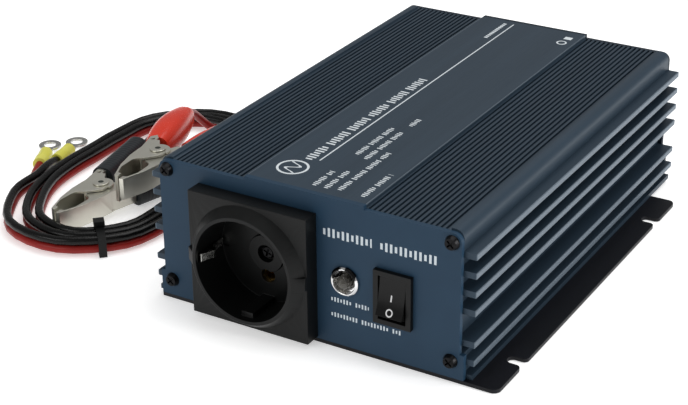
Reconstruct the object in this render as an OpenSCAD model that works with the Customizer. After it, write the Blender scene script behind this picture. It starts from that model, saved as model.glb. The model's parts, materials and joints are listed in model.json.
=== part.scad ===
// A fan-cooled power inverter in a finned aluminium case, with its loose battery leads.
// Front panel towards -Y, right side towards +X, standing on Z = 0. Millimetres.

/* [Case] */
// Length of the case over both end plates
case_len = 192; // [150:1:260]
// Width of the case at its upper side walls
case_w = 124.4; // [110:0.2:170]
// Height from the base plate to the tops of the fine ribs
case_h = 56.4; // [54:0.2:80]
// Side and roof wall of the extrusion
wall = 3; // [2.4:0.2:4]
// Thickness of the front and rear plates
plate_t = 2; // [1.5:0.1:3]
// Thickness of the base plate
base_t = 1.5; // [1:0.1:3]
// How much wider the foot of the extrusion is, each side
foot_step = 1.8; // [0.6:0.1:2.4]
// Height of the wide foot
foot_h = 10; // [8:0.5:12]
// Radius of the rounded top edges
edge_r = 3.4; // [2:0.2:5]

/* [Fins and ribs] */
// How far the side fins stand out past the upper wall
fin_out = 5; // [3:0.5:9]
// Depth of the side wall between the fins, behind the upper wall
fin_root = 1.9; // [1:0.1:2.4]
// Thickness of a fin
fin_t = 2.4; // [1.8:0.1:3]
// Spacing of the upper fins
fin_pitch = 7.25; // [6:0.25:8.5]
// Fins above the wide gap
upper_fins = 4; // [2:1:4]
// Height of the top fin above the base plate
top_fin_z = 48.3; // [44:0.1:50]
// Height of the upper fin of the lower pair
low_fin_z = 14.1; // [12:0.1:18]
// Height of the lowest fin
foot_fin_z = 6.8; // [6:0.1:9]
// Width of the flat label field on the roof
label_w = 48.8; // [30:0.2:60]
// How far the label field stands above the ribs
label_rise = 1.5; // [0.5:0.1:3]
// Spacing of the fine ribs on the roof
rib_pitch = 2; // [1.6:0.1:4]
// Depth of the grooves between the ribs
rib_depth = 0.9; // [0.4:0.1:1.4]
// Plain band along each top edge
edge_band = 5; // [4:0.5:8]

/* [Mounting flanges] */
// How far each flange stands out past the wide foot
flange_out = 13.2; // [9:0.2:20]
// Length of a flange
flange_len = 170; // [120:1:190]
// Width of the open slots
slot_w = 4.6; // [3:0.2:6]
// Depth of the open slots from the flange edge
slot_in = 6.5; // [5:0.5:8]
// Distance of each slot from its end of the flange
slot_end = 21.5; // [15:0.5:40]
// Corner radius of the flanges and slot mouths
flange_r = 3; // [1:0.5:4]

/* [Outlet] */
// Side of the square outlet plate
outlet_w = 50; // [48:1:54]
// How far the plate stands off the front panel
outlet_t = 7; // [3:0.5:9]
// How far the collar stands off the plate
collar_h = 4.4; // [2:0.2:6]
// Radius of the plug recess
recess_r = 19.75; // [19.5:0.05:20.5]
// Depth of the plug recess
recess_d = 17.5; // [16:0.5:20]
// Centre of the outlet from the middle of the case
outlet_x = -19.8; // [-30:0.2:-15]
// Centre of the outlet above the base plate
outlet_z = 25.6; // [25:0.2:30]
// Distance between the two pin holes
pin_gap = 19; // [18:0.5:20]
// Radius of a pin hole
pin_r = 2.9; // [2.5:0.1:3.1]

/* [Switch and lamp] */
// Width and height of the switch bezel
switch_w = 15; // [14:0.5:17]
// Height of the switch bezel
switch_h = 21; // [20:0.5:24]
// Place of the switch from the middle of the case
switch_x = 36.6; // [30:0.2:44]
// Height of the switch above the base plate
switch_z = 25.2; // [20:0.2:34]
// How far the rocker tips either side of level
rocker_tilt = 13; // [8:1:15]
// Radius of the lamp holder
lamp_r = 5.7; // [5:0.1:7]
// Place of the lamp from the middle of the case
lamp_x = 16.9; // [14:0.1:20]
// Height of the lamp above the base plate
lamp_z = 26.8; // [20:0.2:34]

/* [Rear panel] */
// Side of the square fan
fan_w = 40; // [40:1:50]
// Depth of the fan
fan_t = 15; // [10:1:20]
// Distance of a fan screw from the fan's edge
fan_screw_edge = 4; // [3:0.1:5]
// Place of the fan from the middle of the case
fan_x = -30; // [-34:1:-26]
// Spacing of the two input studs
stud_gap = 26; // [20:1:34]
// Radius of an input stud
stud_r = 2.5; // [2.5:0.5:4]
// How far a stud stands off the rear plate
stud_out = 15.4; // [12:0.2:24]
// Middle of the two studs from the middle of the case
stud_x = 30; // [26:1:34]

/* [Screws] */
// Radius of the end plate and base screws
screw_r = 1.4; // [1:0.1:1.6]
// Radius of their heads
screw_head_r = 2.8; // [2.2:0.1:3.2]
// Height of their heads
screw_head_h = 1.8; // [1:0.1:2.4]
// Radial clearance of a screw in its hole
screw_gap = 0.1; // [0.05:0.05:0.3]

/* [Battery leads] */
// Diameter of one lead
lead_d = 3.6; // [2.5:0.1:4]
// Thickness of a clip lying on its side
clip_t = 13.3; // [11:0.1:14]
// Length of a clip jaw from the rivet
jaw_len = 29; // [24:1:32]
// Length of a clip handle from the rivet
handle_len = 46; // [38:1:50]

/* [Hidden] */
$fn = 48;
e = 0.01;
gap = 0.3;

rim_reach = outlet_t + collar_h;
mid_y = (case_len + stud_out - rim_reach) / 2;
half_w = case_w / 2;
root_x = half_w - fin_root;
foot_x = half_w + foot_step;
fin_x = half_w + fin_out;
inner_x = root_x - wall;
rib_z = base_t + case_h;
roof_z = rib_z - rib_depth - wall;
body_len = case_len - 2 * plate_t;
fins_z = [for (i = [0:upper_fins - 1]) top_fin_z - i * fin_pitch];
band_z = base_t + top_fin_z;
lip_t = 1.9;
boss_r = 3.2;
top_boss = [half_w - 3.5, rib_z - 3.6];
low_boss = [half_w - 3.3, base_t + 6.8];
end_screws = [top_boss, low_boss, [-top_boss[0], top_boss[1]], [-low_boss[0], low_boss[1]]];
rail_w = 6.5;
rail_h = 6;
base_screw_x = inner_x - rail_w / 2;
base_screw_y = [14, case_len / 2, case_len - 14];
base_screw_len = 6;
cone_h = 1.3;

// Moves a piece drawn from the front panel's face to its place about the middle of the object
module placed() { translate([0, -mid_y, 0]) children(); }
// Extrudes an outline drawn across the case, in X and height, along the case
module along(y, len) { translate([0, y + len, 0]) rotate([90, 0, 0]) linear_extrude(len) children(); }
// A cylinder along the case, from y towards +Y
module rod(x, y, z, r, len) { translate([x, y, z]) rotate([-90, 0, 0]) cylinder(r = r, h = len); }
// A box given by its middle in X and Z and its near face in Y
module block(x, y, z, w, len, h) { translate([x - w / 2, y, z - h / 2]) cube([w, len, h]); }

// ---- Case ----
module roof_outline(w, top) {
    translate([-w / 2 + edge_r, base_t]) square([w - 2 * edge_r, top - base_t]);
    translate([-w / 2, base_t]) square([w, top - base_t - edge_r]);
    for (s = [-1, 1]) translate([s * (w / 2 - edge_r), top - edge_r]) circle(edge_r);
}
module case_outline() {
    translate([-root_x, base_t]) square([2 * root_x, top_fin_z]);
    intersection() {
        roof_outline(case_w, rib_z + 0.8);
        translate([-half_w, band_z]) square([case_w, case_h]);
    }
    translate([-foot_x + 1, base_t]) square([2 * foot_x - 2, foot_h]);
    translate([-label_w / 2, band_z]) square([label_w, rib_z + label_rise - band_z]);
}
fin_edge_r = 0.4;
module fin_outline(z) {
    tip = fin_x - fin_edge_r;
    translate([-tip, z - fin_t / 2]) square([2 * tip, fin_t]);
    translate([-fin_x, z - fin_t / 2 + fin_edge_r]) square([2 * fin_x, fin_t - 2 * fin_edge_r]);
    for (s = [-1, 1], u = [-1, 1]) translate([s * tip, z + u * (fin_t / 2 - fin_edge_r)])
        circle(fin_edge_r);
}
module rib_cut() {
    start = label_w / 2;
    count = floor((half_w - edge_band - start) / rib_pitch);
    for (s = [-1, 1]) {
        translate([s > 0 ? start : -half_w + edge_band, rib_z]) square([half_w - edge_band - start, 2]);
        for (i = [0:count - 1])
            translate([s * (start + rib_pitch * (i + 0.5)) - rib_pitch / 4, rib_z - rib_depth])
                square([rib_pitch / 2, 2]);
    }
}
module case_extrusion() color([0.22, 0.29, 0.37]) placed() difference() {
    along(plate_t, body_len) difference() {
        union() {
            difference() {
                union() {
                    case_outline();
                    for (z = fins_z) fin_outline(base_t + z);
                    for (z = [low_fin_z, foot_fin_z]) fin_outline(base_t + z);
                    translate([-fin_x + 0.8, base_t]) square([2 * fin_x - 1.6, lip_t]);
                }
                translate([-inner_x, 0]) square([2 * inner_x, roof_z]);
            }
            for (p = end_screws) translate(p) circle(boss_r);
            for (s = [-1, 1]) translate([s * base_screw_x - rail_w / 2, base_t]) square([rail_w, rail_h]);
        }
        rib_cut();
        for (p = end_screws) translate(p) circle(screw_r + screw_gap);
    }
    for (s = [-1, 1], y = base_screw_y)
        translate([s * base_screw_x, y, 0]) cylinder(r = screw_r + screw_gap, h = base_t + base_screw_len);
    for (p = bar_screws) rod_x(p[0] * inner_x - (p[0] < 0 ? 2.6 : 1), p[1], bar_z, screw_r + screw_gap,
        3.6);
    // The bay that a large fan needs in the roof, the rails and the screw bosses
    block(fan_c[0], fan_y - fan_room, fan_c[1], fan_w + 2 * fan_room, fan_t + fan_room, fan_w
        + 2 * fan_room);
}

module plate_outline() {
    roof_outline(case_w, rib_z);
    translate([-foot_x, base_t]) square([2 * foot_x, foot_h]);
    translate([-label_w / 2, base_t]) square([label_w, case_h + label_rise]);
}
module end_plate(y) along(y, plate_t) difference() {
    plate_outline();
    for (p = end_screws) translate(p) circle(screw_r + 0.3);
}
cup_wall = 2.4;
cup_hole_r = recess_r + cup_wall + gap;
outlet_c = [outlet_x, base_t + outlet_z];
lamp_c = [lamp_x, base_t + lamp_z];
switch_c = [switch_x, base_t + switch_z];
lamp_tube_r = 3.9;
switch_cut = [switch_w - 2, switch_h - 1.6];
module front_plate() color([0.25, 0.36, 0.48]) placed() difference() {
    end_plate(0);
    rod(outlet_c[0], -1, outlet_c[1], cup_hole_r, plate_t + 2);
    rod(lamp_c[0], -1, lamp_c[1], lamp_tube_r + 0.15, plate_t + 2);
    block(switch_c[0], -1, switch_c[1], switch_cut[0], plate_t + 2, switch_cut[1]);
}

fan_c = [fan_x, base_t + 29.5];
fan_holes = fan_w - 2 * fan_screw_edge;
fan_room = 0.3;
stud_c = [for (s = [-1, 1]) [stud_x + s * stud_gap / 2, base_t + 33]];
earth_c = [stud_x, base_t + 12];
fan_hole_r = fan_w / 2 - 1.5;
bushing_r = 5;
module rear_plate() color([0.16, 0.18, 0.21]) placed() difference() {
    end_plate(case_len - plate_t);
    rod(fan_c[0], case_len - plate_t - 1, fan_c[1], fan_hole_r, plate_t + 2);
    for (p = fan_screw_places()) rod(p[0], case_len - plate_t - 1, p[1], screw_r + 0.3, plate_t + 2);
    for (p = stud_c) rod(p[0], case_len - plate_t - 1, p[1], bushing_r, plate_t + 2);
    rod(earth_c[0], case_len - plate_t - 1, earth_c[1], 2 + screw_gap, plate_t + 2);
}

flange_x = foot_x + flange_out;
module flange_outline() {
    slots = [slot_end, flange_len - slot_end];
    difference() {
        union() {
            translate([0, 0]) square([flange_x - flange_r, flange_len]);
            translate([0, flange_r]) square([flange_x, flange_len - 2 * flange_r]);
            for (y = [flange_r, flange_len - flange_r]) translate([flange_x - flange_r, y])
                circle(flange_r);
        }
        for (y = slots) {
            translate([flange_x - slot_in + slot_w / 2, y]) circle(d = slot_w);
            translate([flange_x - slot_in + slot_w / 2, y - slot_w / 2]) square([slot_in, slot_w]);
            difference() {
                translate([flange_x - 2, y - slot_w / 2 - 2]) square([3, slot_w + 4]);
                for (s = [-1, 1]) translate([flange_x - 2, y + s * (slot_w / 2 + 2)]) circle(2);
            }
        }
    }
}
vent_x = 22;
vent_y = 62;
vent_pitch = 9;
vent_count = 8;
module vent_outline() {
    square([24, 3], center = true);
    for (s = [-1, 1]) translate([s * 12, 0]) circle(1.5);
}
module base_plate() color([0.06, 0.06, 0.07]) placed() difference() {
    union() {
        linear_extrude(base_t) {
            translate([-foot_x, 0]) square([2 * foot_x, case_len]);
            flange_outline();
            translate([0, case_len]) rotate(180) flange_outline();
        }
    }
    for (s = [-1, 1], y = base_screw_y) {
        translate([s * base_screw_x, y, -e]) cylinder(r = screw_r + screw_gap, h = base_t + 1);
        translate([s * base_screw_x, y, -e]) cylinder(r1 = screw_head_r + 0.1, r2 = screw_r + 0.1,
            h = cone_h);
    }
    for (s = [-1, 1], i = [0:vent_count - 1]) translate([s * vent_x, vent_y + i * vent_pitch, -1])
        linear_extrude(base_t + 2) vent_outline();
}

// ---- Screws ----
module pan_screw(len) {
    cylinder(r = screw_r, h = len);
    difference() {
        translate([0, 0, -screw_head_h]) cylinder(r1 = screw_head_r - 0.7, r2 = screw_head_r,
            h = screw_head_h);
        for (a = [0, 90]) rotate(a) translate([-1.6, -0.3, -screw_head_h - e]) cube([3.2, 0.6, 1]);
    }
}
module front_plate_screws() color([0.08, 0.08, 0.08]) placed()
    for (p = end_screws) translate([p[0], -e, p[1]]) rotate([-90, 45, 0]) pan_screw(9);
module rear_plate_screws() color([0.08, 0.08, 0.08]) placed()
    for (p = end_screws) translate([p[0], case_len + e, p[1]]) rotate([90, 45, 0]) pan_screw(9);
module base_plate_screws() color([0.08, 0.08, 0.08]) placed() for (s = [-1, 1], y = base_screw_y)
    translate([s * base_screw_x, y, 0.1]) {
        cylinder(r1 = screw_head_r - 0.1, r2 = screw_r, h = cone_h - 0.2);
        cylinder(r = screw_r, h = base_screw_len);
    }

// ---- Outlet ----
floor_y = recess_d - rim_reach;
floor_t = 2;
lug_w = 5.4;
island_r = 7.4;
island_h = 1.2;
sink_d = 1.8;
core_w = 30;
core_t = 15;
contact_r = 3.4;
clip_in = 16.2;
clip_w = 3.2;
module outlet_lugs() for (s = [-1, 1]) translate([outlet_c[0], 0, outlet_c[1] - lug_w / 2])
    linear_extrude(lug_w) polygon([[s * recess_r, -outlet_t], [s * outlet_w / 2, -outlet_t],
        [s * outlet_w / 2, -outlet_t - 1.2], [s * (recess_r + 1.5), -rim_reach + 0.4], [s * recess_r,
            -rim_reach + 0.4]]);
module outlet_housing() color([0.1, 0.1, 0.1]) placed() difference() {
    union() {
        block(outlet_c[0], -outlet_t, outlet_c[1], outlet_w, outlet_t, outlet_w);
        translate([outlet_c[0], -outlet_t, outlet_c[1]]) rotate([90, 0, 0])
            cylinder(r1 = outlet_w / 2 - 0.8, r2 = recess_r + 1.4, h = collar_h);
        outlet_lugs();
        rod(outlet_c[0], -e, outlet_c[1], recess_r + cup_wall, floor_y + floor_t + e);
        block(outlet_c[0], floor_y, outlet_c[1], core_w, floor_t + core_t, core_w);
    }
    difference() {
        rod(outlet_c[0], -rim_reach - 1, outlet_c[1], recess_r, recess_d + 1);
        rod(outlet_c[0], floor_y - island_h, outlet_c[1], island_r, island_h + 1);
        for (s = [-1, 1]) block(outlet_c[0], -rim_reach + 3, outlet_c[1] + s * (recess_r - 0.6), 5.2,
            recess_d, 2.8);
    }
    for (s = [-1, 1]) {
        rod(outlet_c[0], floor_y - 3, outlet_c[1] + s * pin_gap / 2, pin_r, 8);
        rod(outlet_c[0], floor_y + floor_t, outlet_c[1] + s * pin_gap / 2, contact_r + 0.3, core_t + 1);
        block(outlet_c[0] + s * (recess_r - 0.7), -rim_reach + 1.6, outlet_c[1], 4, recess_d - 1,
            clip_w + 0.4);
    }
    rod(outlet_c[0], floor_y - 3, outlet_c[1], screw_head_r + 0.6, 3 + sink_d);
    rod(outlet_c[0], floor_y - 3, outlet_c[1], 1.7, 16);
}
module earth_strip(s) translate([outlet_c[0], 0, outlet_c[1] - clip_w / 2]) linear_extrude(clip_w)
    polygon([for (p = [[19.2, floor_y - 0.5], [19.2, 0.5], [clip_in, -4], [18.6, -9.4], [19.4, -9.2],
        [clip_in + 0.9, -4], [20, 0.8], [20, floor_y - 0.5]]) [s * p[0], p[1]]]);
module outlet_earth_clips() color([0.8, 0.8, 0.78]) placed() for (s = [-1, 1]) earth_strip(s);
module outlet_contacts() color([0.75, 0.6, 0.3]) placed() for (s = [-1, 1]) difference() {
    rod(outlet_c[0], floor_y + floor_t + 0.2, outlet_c[1] + s * pin_gap / 2, contact_r, core_t + 3);
    rod(outlet_c[0], floor_y + floor_t, outlet_c[1] + s * pin_gap / 2, 2.42, core_t);
}
module outlet_centre_screw() color([0.1, 0.1, 0.1]) placed()
    translate([outlet_c[0], floor_y + sink_d - e, outlet_c[1]]) rotate([-90, 20, 0]) pan_screw(11);

// ---- Lamp ----
module lamp_holder() color([0.85, 0.85, 0.85]) placed() translate([lamp_c[0], 0, lamp_c[1]])
    rotate([90, 0, 0])
    rotate_extrude() polygon([[2.7, -9], [lamp_tube_r, -9], [lamp_tube_r, 0], [lamp_r, 0], [lamp_r, 0.9],
        [lamp_r - 0.7, 1.6], [lamp_r - 1.1, 1.5], [3.4, -0.6], [2.7, -1]]);
module lamp_lens() color([0.85, 0.88, 0.85]) placed() translate([lamp_c[0], 0, lamp_c[1]]) rotate([90,
    0, 0]) {
    translate([0, 0, -8]) cylinder(r = 2.5, h = 9.2);
    translate([0, 0, 1.2]) intersection() {
        sphere(2.5);
        cylinder(r = 4, h = 4);
    }
    for (s = [-1, 1]) translate([s * 1.27 - 0.25, -0.25, -16]) cube([0.5, 0.5, 8.5]);
}
module lamp_nut() color([0.8, 0.8, 0.8]) placed() translate([lamp_c[0], plate_t, lamp_c[1]])
    rotate([-90, 0, 0])
    difference() {
        cylinder(r = 6, h = 2.2, $fn = 6);
        translate([0, 0, -1]) cylinder(r = lamp_tube_r + 0.05, h = 5);
    }

// ---- Switch ----
bezel_t = 2;
rocker_w = switch_w - 4.6;
rocker_h = switch_h - 4.4;
pivot_y = 2.2;
switch_d = 14;
module switch_housing() color([0.12, 0.12, 0.12]) placed() difference() {
    union() {
        block(switch_c[0], -bezel_t, switch_c[1], switch_w, bezel_t, switch_h);
        block(switch_c[0], -e, switch_c[1], switch_cut[0] - 0.3, switch_d, switch_cut[1] - 0.3);
    }
    block(switch_c[0], -bezel_t - 1, switch_c[1], rocker_w + 2 * gap, 11, rocker_h + 2 * gap);
    rod_x(switch_c[0] - rocker_w / 2 - 0.9, pivot_y, switch_c[1], 1.05, rocker_w + 1.8);
}
module rod_x(x, y, z, r, len) { translate([x, y, z]) rotate([0, 90, 0]) cylinder(r = r, h = len); }
module switch_rocker() color([0.1, 0.1, 0.1]) placed() translate([switch_c[0], pivot_y, switch_c[1]])
    rotate([-rocker_tilt, 0, 0]) {
        translate([-rocker_w / 2, 0, 0]) rotate([90, 0, 90]) linear_extrude(rocker_w)
            polygon([[-5.1, rocker_h / 2 - 1.1], [-4.6, rocker_h / 4], [-4.4, 0], [-4.6, -rocker_h / 4],
                [-5.1, -rocker_h / 2 + 1.1], [-1.6, -rocker_h / 2 + 0.5], [2.4, -4], [3.6, -1], [3.6,
                    1], [2.4, 4],
                [-1.6, rocker_h / 2 - 0.5]]);
        rod_x(-rocker_w / 2 - 0.8, 0, 0, 1, rocker_w + 1.6);
    }
module switch_terminals() color([0.8, 0.7, 0.4]) placed() for (s = [-1, 0])
    block(switch_c[0], switch_d - e, switch_c[1] + s * 6.5, 0.8, 7, 4.8);

// ---- Fan, on the inside of the rear plate ----
fan_y = case_len - plate_t - fan_t;
hub_r = 10;
blade_r = fan_w / 2 - 2.6;
function fan_screw_places() = [for (a = [-1, 1], b = [-1, 1]) [fan_c[0] + a * fan_holes / 2, fan_c[1]
    + b * fan_holes / 2]];
module fan_frame() color([0.1, 0.1, 0.1]) placed() {
    difference() {
        block(fan_c[0], fan_y, fan_c[1], fan_w, fan_t, fan_w);
        rod(fan_c[0], fan_y - 1, fan_c[1], fan_w / 2 - 1.4, fan_t + 2);
        for (p = fan_screw_places()) rod(p[0], fan_y - 1, p[1], screw_r + 0.3, fan_t + 2);
    }
    difference() {
        union() {
            rod(fan_c[0], fan_y, fan_c[1], hub_r, 2);
            rod(fan_c[0], fan_y, fan_c[1], 2, fan_t - 4);
            for (a = [45:90:315]) translate([fan_c[0], fan_y, fan_c[1]]) rotate([0, a, 0])
                translate([hub_r - 1, 0, -1]) cube([fan_w / 2 - hub_r, 1.6, 2]);
        }
    }
}
module fan_rotor() color([0.13, 0.13, 0.13]) placed() {
    difference() {
        rod(fan_c[0], fan_y + 2.5, fan_c[1], hub_r, fan_t - 3.5);
        rod(fan_c[0], fan_y + 2, fan_c[1], hub_r - 1.5, fan_t - 5);
    }
    difference() {
        rod(fan_c[0], fan_y + 2.5, fan_c[1], 3.4, fan_t - 4);
        rod(fan_c[0], fan_y + 2, fan_c[1], 2.05, fan_t - 5.5);
    }
    for (i = [0:6]) translate([fan_c[0], fan_y + fan_t / 2, fan_c[1]]) rotate([0, i * 360 / 7, 0])
        translate([hub_r - 0.6, 0, 0]) rotate([38, 0, 0])
            translate([0, -0.6, -4.6]) cube([blade_r - hub_r + 0.6, 1.2, 9.2]);
}
guard_y = case_len + 0.6;
guard_lug_r = 3.6;
spoke_len = fan_holes * 0.707 - 3.1;
module guard_ring(r) translate([fan_c[0], guard_y + 1, fan_c[1]]) rotate([90, 0, 0])
    rotate_extrude() translate([r, 0]) circle(0.8, $fn = 24);
module fan_guard() color([0.75, 0.75, 0.77]) placed() {
    for (r = [6, 11.5, 17]) guard_ring(r);
    for (a = [45, 135]) translate([fan_c[0], guard_y + 1.6, fan_c[1]]) rotate([0, a, 0])
        translate([-spoke_len, -1.4, -0.8]) cube([2 * spoke_len, 2.2, 1.6]);
    for (p = fan_screw_places()) difference() {
        rod(p[0], case_len, p[1], guard_lug_r, 1);
        rod(p[0], case_len - 1, p[1], screw_r + 0.1, 4);
    }
}
module fan_screws() color([0.1, 0.1, 0.1]) placed()
    for (p = fan_screw_places()) translate([p[0], case_len + 1 + e, p[1]]) rotate([90, 0, 0])
        pan_screw(fan_t + 1);

// ---- Input terminals ----
module bushing(p) difference() {
    union() {
        rod(p[0], case_len, p[1], 8.5, 3);
        rod(p[0], case_len - plate_t - 2, p[1], bushing_r - 0.1, plate_t + 3);
    }
    rod(p[0], case_len - plate_t - 3, p[1], stud_core_r + screw_gap, plate_t + 8);
}
module negative_bushing() color([0.1, 0.1, 0.1]) placed() bushing(stud_c[0]);
module positive_bushing() color([0.7, 0.1, 0.08]) placed() bushing(stud_c[1]);
stud_in = 10;
stud_shoulder = 0.3;
stud_core_r = stud_r + stud_shoulder;
stud_free = 7.4;
module input_studs() color([0.8, 0.65, 0.35]) placed() for (p = stud_c) {
    rod(p[0], case_len - plate_t - stud_in, p[1], stud_core_r, plate_t + stud_in + stud_out - stud_free);
    rod(p[0], case_len + stud_out - stud_free - e, p[1], stud_r, stud_free + e);
}
washer_t = 1;
nut_t = 4;
module stud_washers() color([0.8, 0.8, 0.8]) placed() for (p = stud_c, y = [case_len + 3,
    case_len - plate_t - 2 - washer_t])
    difference() {
        rod(p[0], y, p[1], 5.4, washer_t);
        rod(p[0], y - 1, p[1], stud_core_r + screw_gap, washer_t + 2);
    }
module stud_nuts() color([0.8, 0.65, 0.35]) placed()
    for (p = stud_c, y = [case_len + 3 + washer_t, case_len - plate_t - 2 - washer_t - nut_t])
        difference() {
        translate([p[0], y, p[1]]) rotate([-90, 0, 0]) cylinder(r = 4.7, h = nut_t, $fn = 6);
        rod(p[0], y - 1, p[1], stud_core_r + 0.05, nut_t + 2);
    }
module earth_screw() color([0.8, 0.75, 0.5]) placed() {
    rod(earth_c[0], case_len - plate_t - 5, earth_c[1], 2, plate_t + 5.5);
    rod(earth_c[0], case_len + e, earth_c[1], 5, 1);
    difference() {
        rod(earth_c[0], case_len + 1, earth_c[1], 3.6, 2.4);
        for (a = [0, 90]) translate([earth_c[0], case_len + 2.6, earth_c[1]]) rotate([0, a, 0])
            translate([-2.2, 0, -0.4]) cube([4.4, 2, 0.8]);
    }
}

// ---- Electronics ----
board_t = 1.6;
board_z = base_t + 7.5;
board_w = 2 * (inner_x - rail_w) - 2;
board_y = 30;
board_len = case_len - board_y - 32;
board_top = board_z + board_t;
spacer_xy = [for (s = [-1, 1], y = [board_y + 6, board_y + board_len - 6]) [s * (board_w / 2 - 5), y]];
module circuit_board() color([0.1, 0.35, 0.18]) placed() difference() {
    translate([-board_w / 2, board_y, board_z]) cube([board_w, board_len, board_t]);
    for (p = spacer_xy) translate([p[0], p[1], board_z - 1]) cylinder(r = screw_r + 0.2, h = 4);
}
module board_spacers() color([0.75, 0.75, 0.75]) placed() for (p = spacer_xy) difference() {
    translate([p[0], p[1], base_t]) cylinder(r = screw_r + 1.6, h = board_z - base_t);
    translate([p[0], p[1], base_t + 1]) cylinder(r = screw_r + screw_gap, h = board_z);
}
bar_t = 3;
bar_x = inner_x - 7.1;
bar_z = board_z + 19.5;
left_places = [96, 110, 124, 138];
right_places = [50, 64, 78, 92];
function between(places) = [places[1] - 7, places[2] + 7];
bar_screws = [for (y = between(left_places)) [-1, y], for (y = between(right_places)) [1, y]];
module inside_screws() color([0.8, 0.8, 0.8]) placed() {
    for (p = spacer_xy) translate([p[0], p[1], board_top + e]) rotate([180, 0, 0]) pan_screw(6.5);
    for (p = bar_screws) translate([p[0] * (bar_x - bar_t / 2 - e), p[1], bar_z])
        rotate([0, p[0] * 90, 0]) pan_screw(10.5);
}
core_y = 84;
module transformer_core() color([0.2, 0.2, 0.2]) placed() translate([-18, core_y, board_top]) difference() {
    cube([36, 34, 28]);
    translate([7, -1, 6]) cube([5.5, 36, 16]);
    translate([23.5, -1, 6]) cube([5.5, 36, 16]);
}
module transformer_winding() color([0.85, 0.7, 0.25]) placed() translate([0, core_y - 3.4, board_top
    + 14]) difference() {
    translate([-10.7, 0, -7.7]) cube([21.4, 40.8, 15.4]);
    translate([-5.6, 3.2, -8]) cube([11.2, 34.4, 16]);
}
module capacitors() color([0.1, 0.12, 0.35]) placed() {
    for (x = [-36, -19, -2]) translate([x, board_y + board_len - 16, board_top]) cylinder(r = 6.25, h = 22);
    translate([-24, board_y + 24, board_top]) cylinder(r = 11, h = 30);
}
leg_x = board_w / 2 - 1.5;
module leg_outline(side) {
    out = inner_x - 3.4;
    polygon([for (p = [[out, board_top + 10], [out + 0.5, board_top + 10], [out + 0.5, board_top + 3],
        [leg_x + 0.5, board_top + 3], [leg_x + 0.5, board_top], [leg_x, board_top], [leg_x, board_top
            + 3.5],
        [out, board_top + 3.5]]) [side * p[0], p[1]]]);
}
module transistor(side) {
    block(side * (inner_x - 3.4), -5, bar_z, 4.4, 10, 15);
    block(side * (inner_x - 0.95), -5, bar_z + 2, 0.9, 10, 19);
    for (y = [-2.54, 0, 2.54]) along(y - 0.4, 0.8) leg_outline(side);
}
module input_transistors() color([0.12, 0.12, 0.12]) placed() for (y = left_places) translate([0, y,
    0]) transistor(-1);
module output_transistors() color([0.12, 0.12, 0.12]) placed() for (y = right_places) translate([0, y,
    0]) transistor(1);
module pressure_bar(s, places) difference() {
    block(s * bar_x, places[0] - 7, bar_z, bar_t, places[3] - places[0] + 14, 7);
    for (y = between(places)) rod_x(s * bar_x - 3, y, bar_z, screw_r + 0.3, 6);
}
module transistor_bars() color([0.75, 0.76, 0.78]) placed() {
    pressure_bar(-1, left_places);
    pressure_bar(1, right_places);
}
module filter_choke() color([0.8, 0.45, 0.2]) placed() translate([24, board_y + 22, board_top + 14])
    rotate([90, 0, 0])
    rotate_extrude() translate([8.6, 0]) circle(4.9);
module control_board() color([0.1, 0.3, 0.5]) placed() translate([-6, 128, board_top]) cube([44, 1.6, 24]);
module buzzer() color([0.1, 0.1, 0.1]) placed() translate([-33, board_y + board_len - 36, board_top])
    difference() {
    cylinder(r = 6, h = 9);
    translate([0, 0, 8]) cylinder(r = 1.2, h = 2);
}
module blade_fuses() color([0.85, 0.75, 0.1]) placed() for (x = [14, 34])
    translate([x, board_y + board_len - 15, board_top]) cube([14, 5, 12]);

// ---- Swept tubes ----
function unit(v) = v / norm(v);
function tangent(p, i) = unit(p[min(i + 1, len(p) - 1)] - p[max(i - 1, 0)]);
function side_of(t) = abs(t[2]) > 0.9 ? unit(cross(t, [0, 1, 0])) : unit(cross(t, [0, 0, 1]));
function smooth_at(p, i, f) = let (a = p[max(i - 1, 0)], b = p[i], c = p[i + 1], d = p[min(i + 2,
    len(p) - 1)])
    0.5 * (2 * b + (c - a) * f + (2 * a - 5 * b + 4 * c - d) * f * f + (3 * b - a - 3 * c + d) * f * f * f);
function smoothed(p, n) = [for (i = [0:len(p) - 2], k = [0:n - 1]) smooth_at(p, i, k / n), p[len(p) - 1]];
module swept(points, d, sides = 8) {
    n = len(points);
    rings = [for (i = [0:n - 1]) let (t = tangent(points, i), s = side_of(t), u = cross(s, t))
        for (k = [0:sides - 1]) points[i] + d / 2 * (cos(k * 360 / sides) * s + sin(k * 360 / sides) * u)];
    walls = [for (i = [0:n - 2], k = [0:sides - 1]) let (a = i * sides + k, b = i * sides + (k + 1) % sides)
        each [[a, b, a + sides], [b, b + sides, a + sides]]];
    polyhedron(rings, concat([[for (k = [sides - 1:-1:0]) k]], walls,
        [[for (k = [0:sides - 1]) (n - 1) * sides + k]]));
}
wire_d = 2.6;
module wire(points) swept(smoothed(points, 3), wire_d);
module outlet_wires() color([0.3, 0.2, 0.15]) placed() for (s = [-1, 1])
    wire([[outlet_c[0], floor_y + floor_t + core_t + 3.2, outlet_c[1] + s * pin_gap / 2],
        [outlet_c[0] + s, floor_y + floor_t + core_t + 8, outlet_c[1] + s * 8],
        [outlet_c[0] + 14 + s * 3, board_y + 6, board_top + 12], [outlet_c[0] + 20 + s * 4, board_y
            + 8, board_top]]);
module input_wires() color([0.5, 0.1, 0.1]) placed() for (i = [0, 1])
    wire([[stud_c[i][0], case_len - plate_t - stud_in - 0.1, stud_c[i][1]],
        [stud_c[i][0], case_len - plate_t - stud_in - 6, stud_c[i][1] - 2],
        [stud_c[i][0] - 3, board_y + board_len - 2, board_top + 14], [stud_c[i][0] - 3, board_y
            + board_len - 5, board_top]]);

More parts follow.
